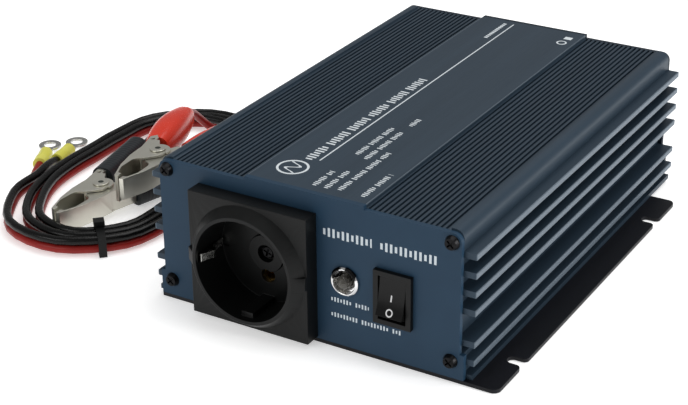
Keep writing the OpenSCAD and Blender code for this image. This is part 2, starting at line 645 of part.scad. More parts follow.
// ---- Battery leads: both lie in one flattened coil of three turns, red below black ----
coil_c = [-130, -23];
coil_straight = 34;
coil_turns = [36, 31, 27.2];
lead_rest = 0.6;
red_z = lead_rest + lead_d / 2;
black_z = red_z + lead_d + 0.1;
module ring_outline(r) for (s = [-1, 1]) {
    translate([0, s * coil_straight]) circle(r);
    translate([-r, -coil_straight]) square([2 * r, 2 * coil_straight]);
}
module coil_solid(z) translate([coil_c[0], coil_c[1], z - lead_d / 2]) linear_extrude(lead_d) difference() {
    ring_outline(coil_turns[0] + lead_d / 2);
    ring_outline(coil_turns[2] - lead_d / 2);
}
red_tail = [[-177, -35, 3.4], [-174.6, -40, 3.2], [-172, -45, 2.8], [-169.3, -51, 2.4], [-166.5, -57, 2.4]];
black_tail = [[-173, -28, 3.8], [-171.8, -33, 5], [-169.6, -40, 6], [-167.5, -48, 6.1], [-166.1, -57, 6.1]];
red_rise = [[-112, 26.5, 2.4], [-118.5, 30.2, 2.7], [-125.2, 30.4, 4.6], [-129.8, 27.4, 8.6],
    [-131.4, 23, 13.6], [-131.2, 18, 18], [-129.8, 13, 20.2], [-127.6, 7.2, 20.4]];
black_rise = [[-146.5, 29, 6.1], [-149, 21, 6.3], [-148.3, 12, 6.2], [-146, 3, 6.5], [-143.6, -4.5, 6.6]];
module red_lead_coil() color([0.55, 0.12, 0.1]) coil_solid(red_z);
module black_lead_coil() color([0.08, 0.08, 0.08]) coil_solid(black_z);
module red_lead_tail() color([0.55, 0.12, 0.1]) swept(smoothed(red_tail, 2), lead_d);
module black_lead_tail() color([0.08, 0.08, 0.08]) swept(smoothed(black_tail, 2), lead_d);
module red_lead_rise() color([0.55, 0.12, 0.1]) swept(smoothed(red_rise, 2), lead_d);
module black_lead_rise() color([0.08, 0.08, 0.08]) swept(smoothed(black_rise, 2), lead_d);
tie_angle = -46;
tie_t = 0.9;
tie_w = 3.2;
module lead_tie() color([0.05, 0.05, 0.05])
    translate([coil_c[0], coil_c[1] - coil_straight, 0]) rotate(tie_angle) {
        inner = coil_turns[2] - lead_d / 2 - 0.6;
        outer = coil_turns[0] + lead_d / 2 + 0.6;
        top = black_z + lead_d / 2 + 0.1;
        difference() {
            translate([inner - tie_t, -tie_w / 2, 0]) cube([outer - inner + 2 * tie_t, tie_w, top + tie_t]);
            translate([inner, -tie_w, 0.5]) cube([outer - inner, 2 * tie_w, top - 0.5]);
        }
        translate([inner + 1, -tie_w / 2 - 0.6, top + tie_t - e]) cube([4.2, tie_w + 1.2, 2.4]);
    }

// ---- Ring lugs on the leads' tails ----
lug_len = 13;
lug_r = 3.2;
lugs = [[red_tail[0], 27], [black_tail[0], 14]];
module at_lug(l) translate([l[0][0], l[0][1], lug_r + 0.2]) rotate(l[1]) children();
module lead_lugs() color([0.8, 0.8, 0.8]) for (l = lugs) at_lug(l) {
    translate([0, lug_len - 3, 0]) rotate([-90, 0, 0]) cylinder(r = 1.9, h = 4);
    translate([0, 0, -0.5]) linear_extrude(1) difference() {
        union() {
            translate([-2.4, lug_len]) square([4.8, 4]);
            translate([0, lug_len + 7.6]) circle(5);
        }
        translate([0, lug_len + 7.6]) circle(stud_r + 0.2);
    }
}
module lug_sleeves() color([0.9, 0.85, 0.15]) for (l = lugs) at_lug(l) rotate([-90, 0, 0]) difference() {
    union() {
        cylinder(r = lug_r - 0.3, h = lug_len);
        cylinder(r = lug_r, h = 5);
    }
    translate([0, 0, lug_len - 3.2]) cylinder(r = 2, h = 4);
}

// ---- Battery clips, lying on their sides. The rivet stands on Z and the jaws point to -Y ----
clip_sheet = 0.9;
rivet_r = 2;
spread = 13;
metal_z = 0.8;
half_gap = 0.25;
jaw_x = 7.6;
hole_x = 3.9;
hole_y = [-jaw_len + 6.5, -jaw_len + 15];
sleeve_start = 14.6;
sleeve_t = 8;
sleeve_x = 4.6;
black_pivot = [-129.4, -51.4, 0];
red_pivot = [-110.4, -36, clip_t + 0.4];
black_turn = -2;
red_turn = 3;
clips = [[black_pivot, black_turn], [red_pivot, red_turn]];
module at_clip(c) translate(c[0]) rotate(c[1]) children();
// The outer edge of a jaw, from its tip to the neck, moved in by d
function jaw_edge(d) = [[-0.3, -jaw_len + d], [-2 + d * 0.6, -jaw_len + 0.4 + d], [-5.5 + d, -jaw_len + 10],
    [-7.2 + d, -jaw_len + 19], [-jaw_x + d, -3]];
function reversed(p) = [for (i = [len(p) - 1:-1:0]) p[i]];
// Side cheek of one half: a jaw with its half of the oval hole, an ear round the rivet and a shoulder
module cheek_outline() difference() {
    union() {
        polygon(concat(jaw_edge(0), [[-jaw_x, 3], [4.4, 3], [4.4, -4], [-0.3, -9.5]]));
        rotate(spread) polygon([[-jaw_x, -2], [-jaw_x + 0.4, 9], [-2.5, 9], [0, 2]]);
        intersection() {
            circle(5.2);
            translate([-6, -1]) square([12, 8]);
        }
    }
    translate([-hole_x, hole_y[0]]) square([2 * hole_x, hole_y[1] - hole_y[0]]);
    for (y = hole_y) translate([0, y]) circle(hole_x);
    circle(rivet_r + 0.05);
}
// Outer wall of one half, folded from the jaw into the handle
module web_outline() {
    polygon(concat(jaw_edge(0), reversed(jaw_edge(clip_sheet))));
    rotate(spread) translate([-jaw_x, -2]) square([clip_sheet, 14]);
    rotate(spread) translate([-sleeve_x - clip_sheet / 2, 9]) square([clip_sheet, handle_len - 11]);
    rotate(spread) polygon([[-jaw_x, 9], [-jaw_x, 12], [-sleeve_x - clip_sheet / 2, 14], [-sleeve_x
        + clip_sheet / 2, 12]]);
}
module clip_half(low, high) {
    for (z = [low, high - clip_sheet]) translate([0, 0, z]) linear_extrude(clip_sheet) cheek_outline();
    translate([0, 0, low]) linear_extrude(high - low) web_outline();
}
inner_z = metal_z + clip_sheet + half_gap;
module fixed_half() clip_half(metal_z, clip_t - metal_z);
module moving_half() mirror([1, 0, 0]) clip_half(inner_z, clip_t - inner_z);
module clip_rivets() color([0.7, 0.68, 0.62]) for (c = clips) at_clip(c) {
    translate([0, 0, 0.1]) cylinder(r = 3.4, h = metal_z - 0.15);
    translate([0, 0, 0.1]) cylinder(r = rivet_r, h = clip_t - 0.2);
    translate([0, 0, clip_t - metal_z + 0.05]) cylinder(r = 3.4, h = metal_z - 0.15);
}
module clip_springs() color([0.6, 0.6, 0.58]) for (c = clips) at_clip(c) {
    difference() {
        translate([0, 0, inner_z + clip_sheet + 0.3]) cylinder(r = 4.4, h = clip_t - 2 * (inner_z
            + clip_sheet + 0.3));
        cylinder(r = rivet_r + 0.5, h = clip_t);
    }
    rotate(spread) translate([-4.2, 0, clip_t / 2 - 0.6]) cube([1.2, 11, 1.2]);
}
module sleeve_outline() {
    square([sleeve_t, clip_t - 6], center = true);
    square([sleeve_t - 6, clip_t], center = true);
    for (x = [-1, 1], z = [-1, 1]) translate([x * (sleeve_t / 2 - 3), z * (clip_t / 2 - 3)]) circle(3);
}
module handle_sleeve() rotate(spread) translate([-sleeve_x, 0, clip_t / 2]) difference() {
    translate([0, handle_len + 2, 0]) rotate([90, 0, 0]) linear_extrude(handle_len + 2 - sleeve_start)
        sleeve_outline();
    translate([-0.6, 0, -clip_t / 2 + metal_z - 0.05]) cube([1.2, handle_len - 1.8,
        clip_t - 2 * metal_z + 0.1]);
}
module clip_fixed_sleeves() {
    color([0.1, 0.1, 0.1]) at_clip(clips[0]) handle_sleeve();
    color([0.8, 0.2, 0.15]) at_clip(clips[1]) handle_sleeve();
}
module moving_sleeve(c) at_clip(c) mirror([1, 0, 0]) handle_sleeve();
module black_clip_fixed_half() color([0.78, 0.76, 0.7]) at_clip(clips[0]) fixed_half();
module black_clip_moving_half() color([0.78, 0.76, 0.7]) at_clip(clips[0]) moving_half();
module red_clip_fixed_half() color([0.78, 0.76, 0.7]) at_clip(clips[1]) fixed_half();
module red_clip_moving_half() color([0.78, 0.76, 0.7]) at_clip(clips[1]) moving_half();
module black_moving_sleeve() color([0.1, 0.1, 0.1]) moving_sleeve(clips[0]);
module red_moving_sleeve() color([0.8, 0.2, 0.15]) moving_sleeve(clips[1]);

case_extrusion();
front_plate();
rear_plate();
base_plate();
front_plate_screws();
rear_plate_screws();
base_plate_screws();
outlet_housing();
outlet_earth_clips();
outlet_contacts();
outlet_centre_screw();
lamp_holder();
lamp_lens();
lamp_nut();
switch_housing();
switch_rocker();
switch_terminals();
fan_frame();
fan_rotor();
fan_guard();
fan_screws();
positive_bushing();
negative_bushing();
input_studs();
stud_nuts();
stud_washers();
earth_screw();
circuit_board();
board_spacers();
inside_screws();
transformer_core();
transformer_winding();
capacitors();
input_transistors();
output_transistors();
transistor_bars();
filter_choke();
control_board();
buzzer();
blade_fuses();
outlet_wires();
input_wires();
red_lead_tail();
red_lead_coil();
red_lead_rise();
black_lead_tail();
black_lead_coil();
black_lead_rise();
lead_tie();
lead_lugs();
lug_sleeves();
clip_rivets();
clip_springs();
black_clip_fixed_half();
black_clip_moving_half();
red_clip_fixed_half();
red_clip_moving_half();
clip_fixed_sleeves();
black_moving_sleeve();
red_moving_sleeve();
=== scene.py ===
# %% [markdown]
# # A power inverter and its battery leads
# The sizes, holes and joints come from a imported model, which is loaded as a fixed frame. This lesson gives each
# piece its finish: it rounds the hard edges that a metal or plastic part never has, winds the loose leads, moulds the
# clips' vinyl sleeves, and mixes one procedural material for every surface. Everything is in metres.

# %% Load the frame
import bpy, bmesh, json, math
from mathutils import Matrix, Vector

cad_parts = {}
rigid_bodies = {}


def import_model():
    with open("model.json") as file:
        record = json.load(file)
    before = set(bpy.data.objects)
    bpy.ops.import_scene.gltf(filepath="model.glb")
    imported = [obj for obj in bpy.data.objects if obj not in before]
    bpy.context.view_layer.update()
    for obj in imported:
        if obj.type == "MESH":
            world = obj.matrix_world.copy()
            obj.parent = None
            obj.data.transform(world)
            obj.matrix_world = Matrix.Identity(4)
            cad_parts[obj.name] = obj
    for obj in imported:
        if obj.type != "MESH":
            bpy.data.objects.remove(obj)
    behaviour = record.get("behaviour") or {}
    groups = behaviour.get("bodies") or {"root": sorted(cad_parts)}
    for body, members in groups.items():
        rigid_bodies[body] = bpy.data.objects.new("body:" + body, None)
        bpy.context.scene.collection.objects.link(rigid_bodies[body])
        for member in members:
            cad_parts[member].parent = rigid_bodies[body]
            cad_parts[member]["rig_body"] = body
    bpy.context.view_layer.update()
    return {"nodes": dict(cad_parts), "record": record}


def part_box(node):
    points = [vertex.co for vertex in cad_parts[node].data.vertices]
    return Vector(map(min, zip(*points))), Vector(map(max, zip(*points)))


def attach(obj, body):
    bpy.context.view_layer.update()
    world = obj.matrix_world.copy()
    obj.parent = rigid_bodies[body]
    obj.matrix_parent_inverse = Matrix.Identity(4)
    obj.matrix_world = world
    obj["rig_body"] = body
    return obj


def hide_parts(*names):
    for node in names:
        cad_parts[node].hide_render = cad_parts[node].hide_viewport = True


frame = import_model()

MM = 0.001
nodes = frame["nodes"]
slot_of = {part["node"]: part["material_slot"] for part in frame["record"]["subparts"]}

# %% [markdown]
# ## The camera
# The object is seen from its front right, a little from above. A camera is placed by the direction that it looks back
# along: its azimuth turns it round the object and its elevation lifts it. A long lens keeps the case's edges calm. A
# slight roll, about the direction that it looks along, tips the horizon by half a degree.

# %% Camera
AZIMUTH, ELEVATION, ROLL = (math.radians(a) for a in (30.89, 26.22, -0.54))
back = Vector((math.cos(ELEVATION) * math.sin(AZIMUTH), -math.cos(ELEVATION) * math.cos(AZIMUTH), math.sin(ELEVATION)))
level = Vector((math.cos(AZIMUTH), math.sin(AZIMUTH), 0))
right = level * math.cos(ROLL) + back.cross(level) * math.sin(ROLL)
camera = bpy.data.objects.new("camera", bpy.data.cameras.new("camera"))
bpy.context.scene.collection.objects.link(camera)
camera.matrix_world = Matrix((right, back.cross(right), back)).transposed().to_4x4()
camera.location = Vector((283.1, -543.4, 314.6)) * MM
camera.data.lens = 88.0
camera.data.clip_start, camera.data.clip_end = 0.05, 20
bpy.context.scene.camera = camera
print("camera at", [round(v, 3) for v in camera.location])

# %% [markdown]
# ## Shader sums
# A pattern such as a printed bar is a sum on the surface's place: how far x is from the bar's middle, compared with its
# half width. Written with nodes that takes a dozen boxes and wires. A small class that wraps a socket and answers to
# +, -, * and the rest lets the sum be written as it would be on paper, and each sign adds its own node.

# %% A socket that can be used in sums
class Value:
    def __init__(self, finish, socket):
        self.finish, self.socket = finish, socket

    def sum(self, operation, *others):
        return self.finish.node("Math", {"operation": operation}, dict(enumerate((self, *others))))

    def __add__(self, other): return self.sum("ADD", other)
    def __sub__(self, other): return self.sum("SUBTRACT", other)
    def __mul__(self, other): return self.sum("MULTIPLY", other)
    def __truediv__(self, other): return self.sum("DIVIDE", other)
    def __rsub__(self, other): return self * -1 + other
    def __gt__(self, other): return self.sum("GREATER_THAN", other)
    def __lt__(self, other): return self.sum("LESS_THAN", other)
    def __mod__(self, other): return self.sum("FLOORED_MODULO", other)
    def __abs__(self): return self.sum("ABSOLUTE")
    __radd__, __rmul__ = __add__, __mul__

    def within(self, middle, half):
        return abs(self - middle) < half

    def either(self, other):
        return self.sum("MAXIMUM", other)

print("sums ready")

# %% [markdown]
# ## Finishes
# Every finish starts from one shader and one way of adding a node: its kind, its settings, and what goes into its
# sockets. Places are measured in millimetres on the piece itself, so a finish keeps its scale and rides with the piece.

# %% The finish class
class Finish:
    def __init__(self, name, **constants):
        self.material = bpy.data.materials.new(name)
        self.material.use_nodes = True
        self.tree = self.material.node_tree
        self.shader = self.tree.nodes["Principled BSDF"]
        for socket, value in constants.items():
            self.shader.inputs[socket.replace("_", " ")].default_value = value
        place = self.node("TexCoord", {}, {}, "Object")
        self.place = self.node("VectorMath", {"operation": "SCALE"}, {0: place, "Scale": 1000.0})

    def node(self, kind, settings, sockets, output=0):
        made = self.tree.nodes.new("ShaderNode" + kind)
        for name, value in settings.items():
            setattr(made, name, value)
        for key, value in sockets.items():
            self.feed(made.inputs[key], value)
        return Value(self, made.outputs[output])

    def feed(self, socket, value):
        if isinstance(value, Value):
            self.tree.links.new(value.socket, socket)
        else:
            socket.default_value = value

    def axes(self):
        return [self.node("SeparateXYZ", {}, {0: self.place}, axis) for axis in "XYZ"]

    def noise(self, cell, stretch=(1, 1, 1), detail=3.0):
        squeezed = tuple(1 / (cell * s) for s in stretch)
        vector = self.node("VectorMath", {"operation": "MULTIPLY"}, {0: self.place, 1: squeezed})
        return self.node("TexNoise", {}, {"Vector": vector, "Scale": 1.0, "Detail": detail})

    def mix(self, factor, a, b):
        return self.node("Mix", {"data_type": "RGBA"}, {0: factor, 6: a, 7: b}, 2)

    def bump(self, height, depth, strength=1.0):
        made = self.node("Bump", {}, {"Height": height, "Distance": depth * MM, "Strength": strength})
        self.feed(self.shader.inputs["Normal"], made)

    def set(self, **sockets):
        for name, value in sockets.items():
            self.feed(self.shader.inputs[name.replace("_", " ")], value)
        return self


def colour(code):
    def linear(c):
        return c / 12.92 if c <= 0.04045 else ((c + 0.055) / 1.055) ** 2.4
    return tuple(linear(int(code[i:i + 2], 16) / 255) for i in (0, 2, 4)) + (1.0,)


def surface(name, dark, light, rough, vary=0.08, cell=2.0, stretch=(1, 1, 1), grain=0.3, depth=0.02,
            **constants):
    """A base for most finishes: a slow change of tone, a finer change of gloss, and a fine relief."""
    made = Finish(name, **{"Specular_IOR_Level": 0.2, **constants})
    tone = made.noise(cell * 4, stretch)
    fine = made.noise(grain, stretch, 2.0)
    made.colour = made.mix(tone, colour(dark), colour(light))
    made.set(Base_Color=made.colour, Roughness=fine * (2 * vary) + (rough - vary))
    made.bump(fine, depth)
    return made

print("finish helpers ready")

# %% [markdown]
# ## The leads' route
# Each lead is one piece of wire: from its ring lug, almost three times round a flattened coil, and up into a battery
# clip. The coil's turns are worked out by a loop on the outline of two half circles joined by straight lines. Near the
# tie the turns are tight together, and at the far left they spring apart, as a stiff wire does. The stretches at the
# ends are given as listed points.

# %% Coil outline
COIL_X, COIL_Y, COIL_HALF = -130, -23, 34
LEFT_RADII = (36, 35, 31.2)
COIL_RADII = (36, 32, 28)
SPRING_OUT = (0, 5.0, 6.6)
ROUND_FROM, ROUND_OVER = 0.16, 0.14
LEAVE_FROM, LEAVE_OVER = 0.78, 0.22
SPRING_AT, SPRING_REACH = 0.30, 0.07
LEAD_D, LEAD_REST = 3.6, 0.6
STEPS = 64


def blend_step(t):
    """Goes from 0 to 1 with a soft start and a soft end."""
    t = min(max(t, 0), 1)
    return t * t * (3 - 2 * t)


def coil_point(turn, height):
    """The place on the coil after a number of turns, from the rear end of its left side towards the front."""
    whole, part = int(turn), turn % 1
    after = min(whole + 1, 2)
    rounding = blend_step((part - ROUND_FROM) / ROUND_OVER)
    leaving = blend_step((part - LEAVE_FROM) / LEAVE_OVER)
    radius = LEFT_RADII[whole] * (1 - rounding) + COIL_RADII[whole] * rounding
    radius -= SPRING_OUT[whole] * math.exp(-((part - SPRING_AT) / SPRING_REACH) ** 2)
    radius += (LEFT_RADII[after] - radius) * leaving
    quarter, along = int(part * 4), part * 4 % 1
    if quarter == 0:
        return Vector((COIL_X - radius, COIL_Y + COIL_HALF * (1 - 2 * along), height))
    if quarter == 2:
        return Vector((COIL_X + radius, COIL_Y - COIL_HALF * (1 - 2 * along), height))
    side = -1 if quarter == 1 else 1
    angle = math.pi * along + (math.pi if quarter == 1 else 0)
    return Vector((COIL_X + radius * math.cos(angle), COIL_Y + side * COIL_HALF + radius * math.sin(angle), height))


def smoothed(points, steps):
    """A curve through the points: each stretch leans on the points before and after it."""
    points = [Vector(p) for p in points]
    made = []
    for i in range(len(points) - 1):
        a, b, c, d = (points[min(max(i + k, 0), len(points) - 1)] for k in (-1, 0, 1, 2))
        for k in range(steps):
            f = k / steps
            made.append(0.5 * (2 * b + (c - a) * f + (2 * a - 5 * b + 4 * c - d) * f * f
                               + (3 * b - a - 3 * c + d) * f ** 3))
    return made + [points[-1]]

print("coil of", len(COIL_RADII), "turns")

# %% [markdown]
# ## Where the two leads run
# Each core leaves its ring lug, joins the coil at the rear of its left side, goes round almost three times and lifts
# off into a clip's handle. The tails and the rises are given by a few points, and the curve is led through them.

# %% Lead routes
RED_Z = LEAD_REST + LEAD_D / 2
BLACK_Z = RED_Z + LEAD_D + 0.1
red_tail = [(-177, -35, 3.4), (-174.6, -40, 3.2), (-172, -45, 2.8), (-169.3, -51, 2.4)]
black_tail = [(-173, -28, 3.8), (-171.8, -33, 5), (-169.6, -40, 6), (-167.5, -48, 6.1)]
red_rise = [(-112, 26.5, 2.4), (-118.5, 30.2, 2.7), (-125.2, 30.4, 4.6), (-129.8, 27.4, 8.6), (-131.4, 23, 13.6),
            (-131.2, 18, 18), (-129.8, 13, 20.2), (-127.6, 7.2, 20.4)]
black_rise = [(-146.5, 29, 6.1), (-149, 21, 6.3), (-148.3, 12, 6.2), (-146, 3, 6.5), (-143.6, -4.5, 6.6)]


FIRST_TURN = 0.27


def route(tail, rise, height, last_turn):
    """Joins a tail, the coil up to its last turn, and a rise into one smooth curve."""
    turns = last_turn - FIRST_TURN
    count = int(turns * STEPS)
    ring = [coil_point(FIRST_TURN + turns * i / count, height) for i in range(count + 1)]
    thin = ring[::4] + [ring[-1]]
    return smoothed(tail + thin + rise, 4)


def cord_length(points):
    return sum((b - a).length for a, b in zip(points, points[1:]))


def lead(name, points, finish):
    """A round jacket along a route, resting with the case's body."""
    curve = bpy.data.curves.new(name, "CURVE")
    curve.dimensions = "3D"
    spline = curve.splines.new("POLY")
    spline.points.add(len(points) - 1)
    for spot, point in zip(spline.points, points):
        spot.co = (*(point * MM), 1)
    curve.bevel_depth = LEAD_D / 2 * MM
    curve.bevel_resolution = 6
    curve.use_fill_caps = True
    piece = bpy.data.objects.new(name, curve)
    bpy.context.scene.collection.objects.link(piece)
    curve.materials.append(finish.material)
    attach(piece, "case")
    print(name, round(cord_length(points)), "mm long")
    return piece

print("routes start at", red_tail[0], "and", black_tail[0])

# %% [markdown]
# ## Wire jackets
# The jackets are soft vinyl: smooth, with a broad dull shine and a faint unevenness from the extruder. The red has
# darkened with age, so it is closer to brick than to pillar-box red.

# %% Lead finishes and the two leads
red_jacket = surface("red_jacket", "7a1c18", "9c2622", 0.34, cell=4, grain=0.8, depth=0.03)
black_jacket = surface("black_jacket", "040404", "090909", 0.28, cell=4, grain=0.8, depth=0.03,
                       Specular_IOR_Level=0.22)
red_route = route(red_tail, red_rise, RED_Z, 2.795)
black_route = route(black_tail, black_rise, BLACK_Z, 2.925)
red_lead = lead("red_lead", red_route, red_jacket)
black_lead = lead("black_lead", black_route, black_jacket)
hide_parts("red_lead_tail", "red_lead_coil", "red_lead_rise")
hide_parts("black_lead_tail", "black_lead_coil", "black_lead_rise")

# %% [markdown]
# ## Rounding the edges
# A folded sheet, an extrusion and a moulding all have a small radius on each edge, and it is this radius that catches
# the light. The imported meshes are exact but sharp, so each visible node is copied, its flat faces are joined up, and
# a bevel as wide as the real radius is put on the edges that turn more than a set angle.

# %% A copy with rounded edges
def rounded(node, radius, steps=2, angle=35, name=None):
    mesh = nodes[node].data.copy()
    work = bmesh.new()
    work.from_mesh(mesh)
    bmesh.ops.remove_doubles(work, verts=work.verts, dist=2e-6)
    bmesh.ops.dissolve_limit(work, angle_limit=math.radians(0.6), verts=work.verts, edges=work.edges)
    work.to_mesh(mesh)
    work.free()
    for face in mesh.polygons:
        face.use_smooth = True
    mesh.set_sharp_from_angle(angle=math.radians(angle))
    piece = bpy.data.objects.new(name or node + "_piece", mesh)
    bpy.context.scene.collection.objects.link(piece)
    bevel = piece.modifiers.new("edge", "BEVEL")
    bevel.width, bevel.segments = radius * MM, steps
    bevel.limit_method, bevel.angle_limit = "ANGLE", math.radians(angle)
    bevel.harden_normals = True
    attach(piece, nodes[node]["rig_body"])
    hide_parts(node)
    return piece


EDGE = {"case_extrusion": 0.22, "front_plate": 0.3, "rear_plate": 0.3, "base_plate": 0.3, "outlet_housing": 0.5,
        "switch_housing": 0.45, "switch_rocker": 0.5, "lead_tie": 0.3, "fan_frame": 0.4, "fan_rotor": 0.25,
        "positive_bushing": 0.5, "negative_bushing": 0.5, "input_studs": 0.35, "stud_nuts": 0.3,
        "stud_washers": 0.2, "earth_screw": 0.25, "front_plate_screws": 0.25, "rear_plate_screws": 0.25,
        "fan_screws": 0.25, "lamp_holder": 0.15, "outlet_earth_clips": 0.15, "outlet_centre_screw": 0.2,
        "black_clip_fixed_half": 0.25, "black_clip_moving_half": 0.25, "red_clip_fixed_half": 0.25,
        "red_clip_moving_half": 0.25, "clip_rivets": 0.25, "lead_lugs": 0.2, "lug_sleeves": 0.4}
pieces = {node: rounded(node, radius) for node, radius in EDGE.items()}
print(len(pieces), "rounded pieces")

# %% [markdown]
# ## Anodised case
# The extrusion is drawn through a die, which leaves faint lines along its length, and is then dyed a slate blue under a
# thin clear oxide. So the noise is stretched forty times along Y, it changes the gloss more than the colour, and the
# metal is kept dull. The label is printed on the flat field: a long rule, a title, a few short lines and two plain
# signs, drawn here as bars with no lettering. Each bar is broken up by a wave along its length.

# %% Printed marks
def bar(x, y, along, x0, half, y0, y1, pitch=0.0, gap=0.3):
    """A printed line from y0 to y1, cut into strokes where pitch is given."""
    line = x.within(x0, half) * y.within((y0 + y1) / 2, abs(y1 - y0) / 2)
    return line * ((y + along) % pitch > gap * pitch) if pitch else line


def strokes(across, along, middle, half, start, end, pitch, word):
    """A row of plain upright strokes in groups a word long. Every third stroke is a little shorter."""
    place = along - start
    short = (place % (3 * pitch) < pitch) * (half * 0.3)
    inside = (abs(across - middle) + short < half) * along.within((start + end) / 2, abs(end - start) / 2)
    return (place % pitch < pitch * 0.5) * (place % word < word - pitch * 1.1) * inside


def ring(x, y, x0, y0, radius, half):
    distance = ((x - x0) * (x - x0) + (y - y0) * (y - y0)).sum("SQRT")
    return distance.within(radius, half)

print("marks: bar, strokes, ring")

# %% Case finish
case_finish = surface("slate_anodised", "25333f", "31414f", 0.44, vary=0.07, cell=1.0, stretch=(1, 40, 1),
                      grain=0.25, depth=0.006, Metallic=0.3, Specular_IOR_Level=0.3)
x, y, z = case_finish.axes()
LABEL_HALF, LABEL_FROM_Z, MARKS_FROM_Z = 24.4, 59.0, 59.2
SIGN_X, SIGN_Y = -13.6, -83
marks = bar(x, y, 0, -8.1, 0.28, -73.5, 89)
marks = marks.either(strokes(x, y, -12.3, 1.9, -74.5, 13.8, 1.9, 15.2))
for x0, start, end in ((0.8, -92, -79), (0.8, -62, -35), (5.6, -92, -76), (5.6, -64, -37), (5.6, -30, -23),
                       (10.6, -91, -55.5), (20.3, -91.5, -71.3)):
    marks = marks.either(strokes(x, y, x0, 1.1, start, end, 1.25, 10.0))
marks = marks.either(bar(x, y, 0, -11.8, 0.8, 68.6, 88.9, 1.7, 0.3))
marks = marks.either(ring(x, y, SIGN_X, SIGN_Y, 5.6, 0.45))
wave = ((y - SIGN_Y) * 1.1).sum("SINE") * 2.3
marks = marks.either((abs(x - SIGN_X - wave) < 0.6) * y.within(SIGN_Y, 4.2))
marks = marks.either(ring(x, y, 19.0, 79, 1.9, 0.35)).either(bar(x, y, 0, 19.5, 1.7, 83.5, 86.5))
marks = marks * (z > MARKS_FROM_Z)
fin_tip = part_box("case_extrusion")[1].x / MM
# Painted highlight: the fin tips and the label's long edges are painted a lighter slate, where the side light catches
# them.
painted_highlight = (abs(x) > fin_tip - 0.35).either(abs(x).within(LABEL_HALF, 0.3) * (z > LABEL_FROM_Z))
painted_highlight_colour = case_finish.mix(painted_highlight, case_finish.colour, colour("5b6772"))
case_colour = case_finish.mix(marks, painted_highlight_colour, colour("dfe6ea"))
case_finish.set(Base_Color=case_colour)

# %% [markdown]
# ## Front panel
# The end plates are flat sheet with a mid-blue semi-matt paint, a step lighter than the case. The printed title over
# the lamp and the two notes under it are again plain strokes.

# %% Front panel finish
panel_finish = surface("blue_panel", "1c3448", "213b50", 0.5, vary=0.05, cell=3, grain=0.35, depth=0.01)
x, y, z = panel_finish.axes()
marks = strokes(z, x, 45.8, 1.7, 8, 27.6, 1.9, 60).either(strokes(z, x, 45.8, 1.7, 31, 53.4, 1.9, 60))
marks = marks.either(strokes(z, x, 19.6, 0.9, 11, 26.4, 1.25, 10.0))
marks = marks.either(strokes(z, x, 13.4, 0.9, 11, 39.4, 1.25, 12.5))
marks = marks * (y < -97.7)
panel_finish.set(Base_Color=panel_finish.mix(marks, panel_finish.colour, colour("c9d2d8")))

# %% [markdown]
# ## The other finishes
# The plastics are fine-grained and dull, except the switch's glossy rocker with its generic bar and ring. Metals differ
# in tone and gloss: black oxide screws, bright nickel, brass, chrome. A brushed look is noise stretched one way.

# %% Plain finishes
finishes = {
    "slate_anodised": case_finish,
    "blue_panel": panel_finish,
    "dark_panel": surface("dark_panel", "141f29", "1b2834", 0.5, cell=3, grain=0.35, depth=0.01),
    "black_sheet": surface("black_sheet", "08090d", "101118", 0.45, cell=3, grain=0.3, depth=0.02),
    "black_screw": surface("black_screw", "0b0b0c", "1c1c1e", 0.3, cell=0.8, grain=0.2, depth=0.01, Metallic=0.6),
    "black_plastic": surface("black_plastic", "0a0b0b", "0f1010", 0.4, cell=3, grain=0.25, depth=0.02),
    "bright_steel": surface("bright_steel", "b2b2ae", "cfcfca", 0.26, cell=1, grain=1.5, depth=0.002, Metallic=1.0),
    "brass_plate": surface("brass_plate", "b08d4b", "cfae6a", 0.28, cell=1, grain=0.3, Metallic=1.0),
    "red_plastic": surface("red_plastic", "a01713", "bb221b", 0.3, cell=2, grain=0.4),
    "board_green": surface("board_green", "0f4a24", "1b6333", 0.35, cell=1.2, grain=0.5, depth=0.03),
    "ferrite": surface("ferrite", "202022", "343436", 0.6, cell=1, grain=0.3, depth=0.03),
    "winding_tape": surface("winding_tape", "b98f22", "d8b03a", 0.4, cell=2, stretch=(6, 6, 0.5), grain=0.6),
    "capacitor_sleeve": surface("capacitor_sleeve", "141b3c", "22305c", 0.3, cell=2, grain=0.6),
    "epoxy_black": surface("epoxy_black", "161616", "252525", 0.55, cell=1, grain=0.25, depth=0.03),
    "plain_aluminium": surface("plain_aluminium", "a9adb0", "c6cacd", 0.35, stretch=(1, 20, 1), Metallic=1.0),
    "copper": surface("copper", "8a3f1c", "b8602c", 0.3, cell=0.5, stretch=(1, 1, 1), Metallic=0.9),
    "fuse_yellow": surface("fuse_yellow", "caa21a", "e0bb2e", 0.25, cell=2, grain=0.5),
    "brown_wire": surface("brown_wire", "3c2415", "573622", 0.4, cell=2, grain=0.5),
    "red_wire": surface("red_wire", "7d1713", "9c221c", 0.4, cell=2, grain=0.5),
    "red_lead": red_jacket,
    "black_lead": black_jacket,
    "yellow_sleeve": surface("yellow_sleeve", "cfcb3a", "e6e27a", 0.35, cell=1.5, grain=0.5, depth=0.02),
    "clip_steel": surface("clip_steel", "c6c4b8", "dddbd0", 0.3, vary=0.05, cell=4, grain=2.5, depth=0.002,
                          Metallic=0.9),
    "handle_vinyl": surface("handle_vinyl", "b83424", "d84a34", 0.3, cell=3, grain=0.6),
    "black_vinyl": surface("black_vinyl", "191d20", "262b2f", 0.42, cell=3, grain=0.5, depth=0.03),
    "red_vinyl": surface("red_vinyl", "cf2d18", "e23c22", 0.25, cell=4, grain=0.7, depth=0.02, Specular_IOR_Level=0.4),
}
print(len(finishes), "finishes")

